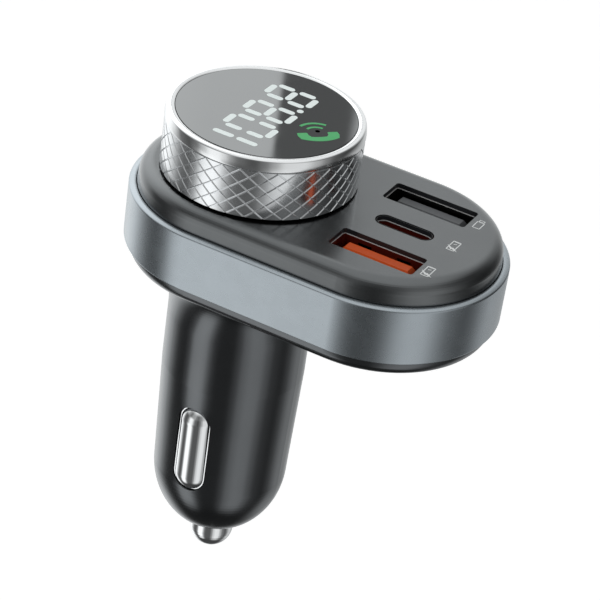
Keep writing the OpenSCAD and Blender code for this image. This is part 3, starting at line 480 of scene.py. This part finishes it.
# The crest and the slope inside it, as steps out from the bore and down from the top.
CREST = ((0.6, 0.02), (0.42, 0.0), (0.03, 0.13), (0.0, 0.16))
lean = math.radians(SWELL_END)
shoulder_r = RIM_R - SWELL_R + (SWELL_R - SHOULDER) * math.cos(lean)
shoulder_z = STEP_Z + FOOT_TURN + (SWELL_R - SHOULDER) * math.sin(lean)
rim = turned("rim_polished", [
    (SLEEVE_R, STEP_Z), (STEP_R, STEP_Z),
    *arc(RIM_R - FOOT_TURN, STEP_Z + FOOT_TURN, FOOT_TURN, FOOT_START, 0, FOOT_STEPS),
    *arc(RIM_R - SWELL_R, STEP_Z + FOOT_TURN, SWELL_R, SWELL_START, SWELL_END),
    *arc(shoulder_r, shoulder_z, SHOULDER, SHOULDER_START, SHOULDER_END),
    *[(RIM_IN + outward, RIM_TOP - drop) for outward, drop in CREST],
    (RIM_IN, STEP_Z + SEAT_H), (SLEEVE_R, STEP_Z + SEAT_H)])
crisp(rim)
settle(rim, "knob", "knob_metal", knob_metal, "rim_ring")


# %% [markdown]
# The metal band is a turned ring too, only that its two halves stand apart. It is turned round, with
# no point where the halves meet, and then they are pulled apart along X, which draws the straight
# walls. On the real one the top edge is a bright ledge that reaches in to the shell, so the seam
# beside the shell is a hairline.

# %% Turn the band and pull it apart
band_low, band_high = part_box("trim_band")
BAND_R = band_high.y / MM
BAND_LOW, BAND_TOP = band_low.z / MM, band_high.z / MM
RIGHT_X = band_high.x / MM - BAND_R
LEFT_X = band_low.x / MM + BAND_R
EDGE_R = 0.3
EDGE_DROP = 0.46
EDGE_END = 66
# The foot and the ledge, as steps in from the side, and up from below or down from the top.
FOOT = ((0.87, 0.0), (0.3, 0.0), (0.22, 0.02), (0.08, 0.1), (0.0, 0.3))
LEDGE = ((0.42, 0.09), (0.65, 0.02), (0.87, 0.0), (1.01, 0.03), (1.07, 0.12), (1.07, 0.7), (0.87, 0.9))


def pull_apart(piece):
    """Turns a round piece into an oval one: the right half moves right and the left half left."""
    for v in piece.data.vertices:
        v.co.x += (RIGHT_X if v.co.x > 0 else LEFT_X) * MM


band = turned("band_polished", [
    *[(BAND_R - inward, BAND_LOW + rise) for inward, rise in FOOT],
    *arc(BAND_R - EDGE_R, BAND_TOP - EDGE_DROP, EDGE_R, 0, EDGE_END),
    *[(BAND_R - inward, BAND_TOP - drop) for inward, drop in LEDGE]])
take(band)
band.rotation_euler.z = math.pi / TURNED_SIDES
bake_place(band)
pull_apart(band)
crisp(band)
settle(band, "housing", "band_metal", band_metal, "trim_band")


# %% [markdown]
# Each of the three openings in the face gets a near-black lining: a dark moulded edge that also stands
# in for the shade deep in the recess, so it is partly painted shade. A light hair below it marks where
# each metal port begins; the edge is real, but its brightness is a painted highlight. Both are thin
# frames: a plane gets round corners, loses its middle, is drawn up by its height, and gets a wall.

# %% Frame the openings
# The openings' length, width and corner, a hair inside the shell's own.
WIDE_PORT = (12.79, 4.99, 0.5)
SMALL_PORT = (8.39, 2.54, 1.27)
PORT_LIP = 0.8
CORNER_STEPS = 8
LINING_RISE, LINING_DROP, LINING_WALL = 0.095, 0.04, 0.05
HAIR_LOW, HAIR_HIGH, HAIR_WALL = 0.005, 0.09, 0.13


def opening_frame(name, middle, size, low, high, wall):
    """A frame from height low to height high round a point (x, y), all in millimetres."""
    length, width, corner = size
    let_go()
    bpy.ops.mesh.primitive_plane_add(size=1)
    piece = named(name)
    piece.scale = (length * MM, width * MM, 1)
    bake_place(piece)
    edit(piece)
    bpy.ops.mesh.bevel(offset=corner * MM, segments=CORNER_STEPS, affect="VERTICES")
    bpy.ops.mesh.select_all(action="SELECT")
    bpy.ops.mesh.delete(type="ONLY_FACE")
    bpy.ops.mesh.select_all(action="SELECT")
    bpy.ops.mesh.extrude_edges_move(TRANSFORM_OT_translate={"value": (0, 0, (high - low) * MM)})
    bpy.ops.mesh.select_all(action="SELECT")
    bpy.ops.mesh.normals_make_consistent(inside=False)
    bpy.ops.object.mode_set(mode="OBJECT")
    thicken = piece.modifiers.new("wall", "SOLIDIFY")
    thicken.thickness = wall * MM
    thicken.offset = -1
    take(piece)
    bpy.ops.object.modifier_apply(modifier=thicken.name)
    piece.location = (middle[0] * MM, middle[1] * MM, low * MM)
    bake_place(piece)
    edit(piece)
    bpy.ops.mesh.normals_make_consistent(inside=False)
    bpy.ops.object.mode_set(mode="OBJECT")
    return crisp(piece)


FACE_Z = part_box("upper_shell")[1].z / MM
lip_foot = FACE_Z - PORT_LIP
PORT_SIZES = {"fast_usb_shell": WIDE_PORT, "media_usb_shell": WIDE_PORT, "usb_c_shell": SMALL_PORT}
for name, size in PORT_SIZES.items():
    low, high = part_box(name)
    middle = ((low.x + high.x) / 2 / MM, (low.y + high.y) / 2 / MM)
    port = name.replace("_shell", "")
    # Each lining's near-black is partly painted shade inside the opening.
    lining = opening_frame(port + "_lining", middle, size,
                           lip_foot + LINING_RISE, FACE_Z - LINING_DROP, LINING_WALL)
    settle(lining, "housing", "black_plastic", opening_edge)
    # Each hair's light colour is a painted highlight on the port's edge.
    hair = opening_frame(port + "_edge", middle, size,
                         lip_foot + HAIR_LOW, lip_foot + HAIR_HIGH, HAIR_WALL)
    settle(hair, "housing", "port_metal", port_edge)


# %% [markdown]
# A side contact is pressed from sheet, so its foot ends in a thin upright rim that runs round the pill
# and shows as a bright hairline. It is one more frame, drawn flat and then stood up against the barrel
# by changing which axis is which.

# %% Rim the side contacts
PILL_L, PILL_W = 14.2, 4.8
PILL_SAG = 1.5
FOOT_RIM = 0.13
FOOT_BELOW, FOOT_ABOVE = 0.5, 0.04
# Each end's two round corners stop a hair before they meet, with a short straight edge between.
ENDS_APART = 0.01
rim_size = (PILL_L + 2 * FOOT_RIM, PILL_W + 2 * FOOT_RIM, PILL_W / 2 + FOOT_RIM - ENDS_APART)
for side, name in ((-1, "contact_front"), (1, "contact_back")):
    low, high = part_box(name)
    pill_foot = max(abs(low.y), abs(high.y)) / MM - PILL_SAG
    middle_z = (low.z + high.z) / 2
    foot = opening_frame(name + "_rim", (0, 0), rim_size,
                         pill_foot - FOOT_BELOW, pill_foot + FOOT_ABOVE, FOOT_RIM)
    for v in foot.data.vertices:
        v.co = (side * v.co.y, side * v.co.z, middle_z + v.co.x)
    crisp(foot)
    settle(foot, "front_contact" if side < 0 else "back_contact", "contact_chrome", contact_chrome)


# %% [markdown]
# Behind the centre pin a coil spring stands on a brass seat and pushes the pin out. A round section of
# wire goes once up the coil with a screw modifier, which is how such a spring is wound.

# %% Wind the pin's spring
spring_low, spring_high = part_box("pin_spring")
SPRING_TURNS = 6
TURN_STEPS = 32
WIRE_R = 0.35
WIRE_SIDES = 12
WIRE_SMOOTH_UNDER = math.radians(40)
spring_l = (spring_high.z - spring_low.z) / MM
spring_r = spring_high.x / MM - WIRE_R
let_go()
bpy.ops.mesh.primitive_circle_add(vertices=WIRE_SIDES, radius=WIRE_R * MM, rotation=(math.pi / 2, 0, 0),
                                  location=(spring_r * MM, 0, spring_low.z + WIRE_R * MM))
spring = bake_place(named("pin_coil"))
winding = spring.modifiers.new("winding", "SCREW")
winding.steps = winding.render_steps = TURN_STEPS
winding.iterations = SPRING_TURNS
winding.screw_offset = (spring_l - 2 * WIRE_R) * MM / SPRING_TURNS
take(spring)
bpy.ops.object.modifier_apply(modifier=winding.name)
edit(spring)
bpy.ops.mesh.select_all(action="DESELECT")
bpy.ops.mesh.select_non_manifold()
bpy.ops.mesh.fill_holes(sides=0)
bpy.ops.mesh.select_all(action="SELECT")
bpy.ops.mesh.normals_make_consistent(inside=False)
bpy.ops.object.mode_set(mode="OBJECT")
bpy.ops.object.shade_smooth_by_angle(angle=WIRE_SMOOTH_UNDER)
settle(spring, "housing", "steel", steel, "pin_spring")
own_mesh(spring)

# %% [markdown]
# The display shows a frequency in bars with round ends, as light does through slots in a block. Each
# bar is a thin plate on the glass. A flat curve is the easiest way to draw such signs: it fills its
# own outline and leaves holes where outlines nest, and it becomes a mesh before it is placed. Signs
# read along +Y, with their top towards -X, and are drawn lying that way from the start.

# %% Draw flat signs
SIGN_T = 0.02
SIGN_WELD = 0.001 * MM
BAR_END_STEPS = 10
STROKE_STEPS = 16


def placed(points, at, turn=0.0):
    """Points drawn round (0, 0), turned by so many degrees and moved to a place."""
    c, s = math.cos(math.radians(turn)), math.sin(math.radians(turn))
    return [(at[0] + c * x - s * y, at[1] + s * x + c * y) for x, y in points]


def outline_bar(at, length, width, turn=0.0):
    """Outline of a bar with round ends."""
    half = (length - width) / 2
    ends = [(half + x, y) for x, y in arc(0, 0, width / 2, -90, 90, BAR_END_STEPS)]
    ends += [(x - half, y) for x, y in arc(0, 0, width / 2, 90, 270, BAR_END_STEPS)]
    return placed(ends, at, turn)


def outline_arc(y, radius, width, start, end):
    """Outline of a curved stroke round (0, y)."""
    outside = arc(0, y, radius + width / 2, start, end, STROKE_STEPS)
    return outside + arc(0, y, radius - width / 2, end, start, STROKE_STEPS)


def sign(name, outlines, z, thickness=SIGN_T):
    """Plates from closed outlines of (x, y) in millimetres, with their foot at height z."""
    curve = bpy.data.curves.new(name, "CURVE")
    curve.dimensions = "2D"
    curve.fill_mode = "BOTH"
    curve.extrude = thickness / 2 * MM
    for outline in outlines:
        line = curve.splines.new("POLY")
        line.points.add(len(outline) - 1)
        for point, (x, y) in zip(line.points, outline):
            point.co = (x * MM, y * MM, 0, 1)
        line.use_cyclic_u = True
    piece = bpy.data.objects.new(name, curve)
    bpy.context.scene.collection.objects.link(piece)
    take(piece)
    bpy.ops.object.convert(target="MESH")
    piece = bpy.context.object
    piece.location.z = (z + thickness / 2) * MM
    bake_place(piece)
    edit(piece)
    bpy.ops.mesh.remove_doubles(threshold=SIGN_WELD)
    bpy.ops.mesh.normals_make_consistent(inside=False)
    bpy.ops.object.mode_set(mode="OBJECT")
    return piece


# %% [markdown]
# Lit signs give off a little light of their own, at a level that still reads as white or green and
# doesn't glare.

# %% Finishes of the signs
def lit(name, colour, glow):
    material = finish(name, colour, rough=0.4, drift=0.03)
    shader = material.node_tree.nodes["Principled BSDF"]
    shader.inputs["Emission Color"].default_value = colour
    shader.inputs["Emission Strength"].default_value = glow
    return material


digit_light = lit("digit_light", linear(184, 192, 191), glow=0.52)
call_glow = lit("call_glow", linear(44, 132, 74), glow=0.5)
icon_print = finish("icon_print", linear(205, 208, 208), rough=0.5)

# %% Draw the digits
GLASS_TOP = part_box("display_lens")[1].z / MM
SEGMENT = 0.95
DIGIT_X = 0.27
HALF_H = 3.33
HALF_W = 1.73
UPRIGHT = 2.5
CROSSBAR = 2.75
DIGIT_YS = (-5.0, 0.37, 6.4)
ONE_Y = -9.18
ONE_L = 3.2
ONE_HALF = 1.85
POINT_AT = (3.4, 3.35)
bars = [outline_bar((DIGIT_X + side * ONE_HALF, ONE_Y), ONE_L, SEGMENT) for side in (-1, 1)]
for y in DIGIT_YS:
    for row in (-1, 1):
        for column in (-1, 1):
            upright_at = (DIGIT_X + row * HALF_H / 2, y + column * HALF_W)
            bars.append(outline_bar(upright_at, UPRIGHT, SEGMENT))
    for row in (-1, 0, 1):
        if row or y != DIGIT_YS[0]:
            bars.append(outline_bar((DIGIT_X + row * HALF_H, y), CROSSBAR, SEGMENT, 90))
bars.append(outline_bar(POINT_AT, SEGMENT, SEGMENT))
digits = sign("digits_lit", bars, GLASS_TOP)
settle(digits, "display_stage", "light_plastic", digit_light)


# %% [markdown]
# The call sign is a handset that lies on its back under two waves. The handset's outline has one arc
# for the belly, a flatter one for the grip, and straight cuts for the two ears. It is drawn upright
# round its own middle and then turned to its place on the glass.

# %% Draw the call sign
CALL_AT = (8.13, -0.36)
CALL_TURN = 45.6
EAR = [(2.98, -0.75), (2.9, -0.08), (2.8, 0.0), (1.58, 0.0), (1.46, -0.1), (1.4, -0.72), (1.2, -0.98)]
# The height of each wave's middle, its radius, its width and the angle where it starts.
WAVES = ((-0.45, 2.99, 0.42, 52), (-0.24, 1.7, 0.38, 49))


def handset():
    """The belly is one arc, and each ear ends in a flat top with a short step down to the grip."""
    belly = arc(r=0, z=3.02, radius=5.4, start=-120.4, end=-59.6, steps=16)
    grip_line = arc(r=0, z=5.4, radius=6.66, start=-80, end=-100)
    return belly + EAR + grip_line + [(-x, y) for x, y in reversed(EAR)]


call_lines = [handset()]
call_lines += [outline_arc(y, radius, width, start, 180 - start) for y, radius, width, start in WAVES]
call = sign("call_sign_lit", [placed(line, CALL_AT, CALL_TURN) for line in call_lines], GLASS_TOP)
settle(call, "display_stage", "green_plastic", call_glow)


# %% [markdown]
# Beside each port stands a small printed sign: a battery with a bolt at the two charging ports, and
# a memory stick at the third. They are general signs, drawn here as plain strokes.

# %% Print the port signs
LINE_W = 0.15
BOX_CORNER = 0.18
BOX_CORNER_STEPS = 4
BATTERY_AT = ((30.75, -8.13), (30.53, 0.12))
BATTERY_SIZE = (1.25, 2.65)
STICK_AT = (30.75, 7.45)
STICK_SIZE = (1.2, 1.95)
# The stick's plug and the hole in it: half the length along X, and where each starts and ends on Y.
PLUG, PLUG_HOLE = (0.42, 1.02, 1.5), (0.3, 1.1, 1.4)
BOLT = [(-0.92, -0.08), (0.02, -0.55), (0.16, -0.42), (1.03, -1.2), (0.12, -0.9), (-0.04, -1.02)]
# Two more strokes on each battery: how far along it, length, width and turn.
STROKES = ((1.13, 0.78, 0.2, 0), (0.5, 0.5, 0.14, 25))
BOX_T, STROKE_T = 0.012, 0.016


def box_line(length, width):
    """Outline and hole of a round-cornered box drawn in strokes, length along X and width along Y."""
    x, y = length / 2 - BOX_CORNER, width / 2 - BOX_CORNER
    corners = ((x, y, 0), (-x, y, 90), (-x, -y, 180), (x, -y, 270))
    rings = []
    for radius in (BOX_CORNER, BOX_CORNER - LINE_W):
        rounded = [arc(cx, cy, radius, start, start + 90, BOX_CORNER_STEPS) for cx, cy, start in corners]
        rings.append([point for corner in rounded for point in corner])
    return rings


outlines = [placed(ring, at) for at in BATTERY_AT for ring in box_line(*BATTERY_SIZE)]
outlines += [placed(ring, STICK_AT) for ring in box_line(*STICK_SIZE)]
for half, start, end in (PLUG, PLUG_HOLE):
    outlines.append(placed([(-half, start), (half, start), (half, end), (-half, end)], STICK_AT))
bolts = [placed(BOLT, at) for at in BATTERY_AT]
for along, *stroke in STROKES:
    bolts += [outline_bar((x, y + along), *stroke) for x, y in BATTERY_AT]

# %% Print them on the shell
boxes = sign("port_signs", outlines, FACE_Z, BOX_T)
strokes = sign("port_strokes", bolts, FACE_Z, STROKE_T)
take(boxes)
strokes.select_set(True)
bpy.ops.object.join()
settle(boxes, "housing", "light_plastic", icon_print)

# %% [markdown]
# Product photographers hang polished things in the air, over a pale floor, inside a tent that only
# the reflections see. Here the light runs round the tent in three bands of height, under a bright
# pole and over a dark foot. Each band is a list of directions, in degrees, with the light's level
# there: the high stretches are soft boxes, and the low ones between them draw the dark stripes down
# the metal. One narrow, sharp gap draws the edge across the glass. The tent is a large ball that the
# camera, the lamps and the shadows pass through, so it changes nothing but the gloss.

# %% Hang the reflection tent
TENT_R = 1.2
TENT_SEGMENTS, TENT_RINGS = 96, 48
LOW_LEVELS = (
    (-180, 0.60), (-172, 0.30), (-164, 0.12), (-150, 0.08), (-140, 0.24), (-131, 1.0), (-118, 1.1),
    (-110, 1.0), (-103, 0.46), (-96, 0.16), (-88, 0.09), (-66, 0.09), (-56, 0.24), (-46, 0.60),
    (-34, 0.78), (-20, 0.74), (-8, 0.40), (4, 0.16), (22, 0.09), (34, 0.20), (44, 0.42), (54, 0.56),
    (66, 0.50), (80, 0.46), (100, 0.56), (118, 0.70), (130, 0.86), (155, 1.1), (168, 1.0), (180, 0.60))
MIDDLE_LEVELS = (
    (-180, 0.85), (-172, 0.50), (-166, 0.14), (-150, 0.08), (-138, 0.16), (-129, 0.50), (-120, 0.95),
    (-110, 0.95), (-103, 0.72), (-95, 0.30), (-88, 0.14), (-70, 0.07), (-58, 0.16), (-48, 0.36),
    (-36, 0.68), (-15, 0.70), (0, 0.42), (12, 0.20), (22, 0.08), (40, 0.05), (58, 0.10), (68, 0.20),
    (77, 0.40), (86, 0.65), (98, 0.80), (112, 1.0), (121, 1.05), (135, 1.15), (160, 1.2), (171, 1.1),
    (180, 0.85))
TOP_LEVELS = (
    (-180, 1.1), (-170, 0.85), (-162, 0.60), (-150, 0.32), (-130, 0.16), (-112, 0.32), (-95, 0.34),
    (-85, 0.20), (-72, 0.13), (-52, 0.24), (-32, 0.48), (-10, 0.45), (4, 0.25), (15, 0.18), (30, 0.10),
    (46, 0.09), (57, 0.16), (66, 0.28), (76, 0.42), (86, 0.62), (95, 0.80), (104, 0.85), (108, 0.80),
    (112, 1.0), (119, 1.0), (121, 1.35), (135, 1.5), (158, 1.5), (168, 1.3), (180, 1.1))
FOOT_LEVEL, POLE_LEVEL, GAP_LEVEL = 0.05, 0.85, 0.19
# Heights, in degrees, between which one band changes to the next.
FOOT_TO_LOW = (-72, -50)
LOW_TO_MIDDLE = (-28, -14)
MIDDLE_TO_TOP = (8, 23)
TOP_TO_POLE = (36, 66)
# The gap sets in and ends between two directions each, and fades out upwards between two heights.
GAP_START, GAP_END, GAP_HEIGHT = (112.9, 113.5), (115.72, 115.94), (36, 42)
TENT_TINT = (0.975, 1.0, 1.01, 1)
TO_DEGREES = 180 / math.pi


def tent_light():
    r = Recipe("tent_light")
    r.tree.nodes.remove(r.shader)
    spot = r.node("ShaderNodeSeparateXYZ")
    r.link(r.place, spot.inputs[0])

    def fill(sockets, values):
        for socket, value in zip(sockets, values):
            if isinstance(value, float):
                socket.default_value = value
            else:
                r.link(value, socket)

    def math_node(operation, a, b=0.0):
        made = r.node("ShaderNodeMath", operation=operation)
        fill(made.inputs, (a, b))
        return made.outputs[0]

    def step(value, low, high):
        made = r.node("ShaderNodeMapRange", interpolation_type="SMOOTHSTEP",
                      in_From_Min=low, in_From_Max=high)
        r.link(value, made.inputs["Value"])
        return made.outputs["Result"]

    def blend(share, a, b):
        made = r.node("ShaderNodeMix", data_type="FLOAT")
        fill([made.inputs[number] for number in MIX_NUMBERS], (share, a, b))
        return made.outputs[0]

    azimuth = math_node("ARCTAN2", spot.outputs["Y"], spot.outputs["X"])
    azimuth = math_node("MULTIPLY", azimuth, TO_DEGREES)
    height = math_node("ARCSINE", math_node("DIVIDE", spot.outputs["Z"], TENT_R))
    height = math_node("MULTIPLY", height, TO_DEGREES)
    share_round = r.node("ShaderNodeMapRange", in_From_Min=-180, in_From_Max=180)
    r.link(azimuth, share_round.inputs["Value"])

    def band_light(levels):
        """A ramp has a stop at either end from the start, so only those between are new."""
        ramp = r.node("ShaderNodeValToRGB")
        ramp.color_ramp.interpolation = "EASE"
        stops = ramp.color_ramp.elements
        for direction, _ in levels[1:-1]:
            stops.new((direction + 180) / 360)
        for stop, (_, level) in zip(stops, levels):
            stop.color = (level, level, level, 1)
        r.link(share_round.outputs["Result"], ramp.inputs["Fac"])
        return ramp.outputs["Color"]

    level = blend(step(height, *FOOT_TO_LOW), FOOT_LEVEL, band_light(LOW_LEVELS))
    level = blend(step(height, *LOW_TO_MIDDLE), level, band_light(MIDDLE_LEVELS))
    level = blend(step(height, *MIDDLE_TO_TOP), level, band_light(TOP_LEVELS))
    level = blend(step(height, *TOP_TO_POLE), level, POLE_LEVEL)
    gap = math_node("MULTIPLY", step(azimuth, *GAP_START), step(azimuth, *reversed(GAP_END)))
    gap = math_node("MULTIPLY", gap, step(height, *reversed(GAP_HEIGHT)))
    level = blend(gap, level, GAP_LEVEL)
    glow = r.node("ShaderNodeEmission", in_Color=TENT_TINT)
    r.link(level, glow.inputs["Strength"])
    r.link(glow.outputs[0], r.tree.nodes["Material Output"].inputs["Surface"])
    return r.material


let_go()
bpy.ops.mesh.primitive_uv_sphere_add(segments=TENT_SEGMENTS, ring_count=TENT_RINGS, radius=TENT_R)
tent = named("reflection_tent")
tent.data.materials.append(tent_light())
tent.visible_camera = False
tent.visible_diffuse = False
tent.visible_shadow = False
tent.visible_transmission = False
print("tent radius:", TENT_R)

# %% [markdown]
# The floor and the world are white to the camera, and to gloss and glass, so the picture's ground
# comes from their colour and not from more light on the object. The floor still takes a shadow.

# %% Lay the floor and light the set
FLOOR_GAP = 0.05
FLOOR_Z = -TENT_R - FLOOR_GAP
FLOOR_R = 8.0
FLOOR_SIDES = 128
FLOOR_COLOUR = (0.86, 0.86, 0.86, 1)
FLOOR_ROUGH = 0.9
FLOOR_GLOW = 0.6
SKY_LIGHT, SKY_SEEN = 0.45, 1.0
WHITE = (1, 1, 1, 1)


def is_seen(tree):
    """An output that is 1 for rays from the camera, in gloss and in glass, and 0 for all others."""
    path = tree.nodes.new("ShaderNodeLightPath")
    seen = path.outputs["Is Camera Ray"]
    for kind in ("Is Glossy Ray", "Is Transmission Ray"):
        either = tree.nodes.new("ShaderNodeMath")
        either.operation = "MAXIMUM"
        tree.links.new(seen, either.inputs[0])
        tree.links.new(path.outputs[kind], either.inputs[1])
        seen = either.outputs[0]
    return seen


def white_ground():
    r = Recipe("white_ground")
    r.shader.inputs["Base Color"].default_value = FLOOR_COLOUR
    r.shader.inputs["Roughness"].default_value = FLOOR_ROUGH
    r.shader.inputs["Emission Color"].default_value = WHITE
    level = r.node("ShaderNodeMath", operation="MULTIPLY")
    level.inputs[1].default_value = FLOOR_GLOW
    r.link(is_seen(r.tree), level.inputs[0])
    r.link(level.outputs[0], r.shader.inputs["Emission Strength"])
    return r.material


let_go()
bpy.ops.mesh.primitive_circle_add(vertices=FLOOR_SIDES, radius=FLOOR_R, fill_type="NGON",
                                  location=(0, 0, FLOOR_Z))
floor = bake_place(named("floor"))
floor.data.materials.append(white_ground())

world = bpy.data.worlds.new("studio")
bpy.context.scene.world = world
world.use_nodes = True
sky = world.node_tree.nodes["Background"]
sky.inputs["Color"].default_value = WHITE
strength = world.node_tree.nodes.new("ShaderNodeMapRange")
strength.inputs["To Min"].default_value = SKY_LIGHT
strength.inputs["To Max"].default_value = SKY_SEEN
world.node_tree.links.new(is_seen(world.node_tree), strength.inputs["Value"])
world.node_tree.links.new(strength.outputs["Result"], sky.inputs["Strength"])

# %% [markdown]
# Two soft lamps give the plain light: a strong one high on the left and a weaker one on the right.
# They are hidden from gloss, because the tent already draws the reflections.

# %% Hang the lamps
def lamp(name, place, size, power):
    let_go()
    bpy.ops.object.light_add(type="AREA", location=place)
    light = bpy.context.object
    light.name = name
    light.data.size = size
    light.data.energy = power
    light.rotation_euler = Vector(place).to_track_quat("Z", "Y").to_euler()
    light.visible_glossy = False
    light.visible_camera = False


lamp("key_lamp", place=(-0.35, -0.45, 0.55), size=0.4, power=3.0)
lamp("fill_lamp", place=(0.5, -0.3, 0.35), size=0.5, power=1.2)
scene = bpy.context.scene
scene.view_settings.view_transform = "Standard"
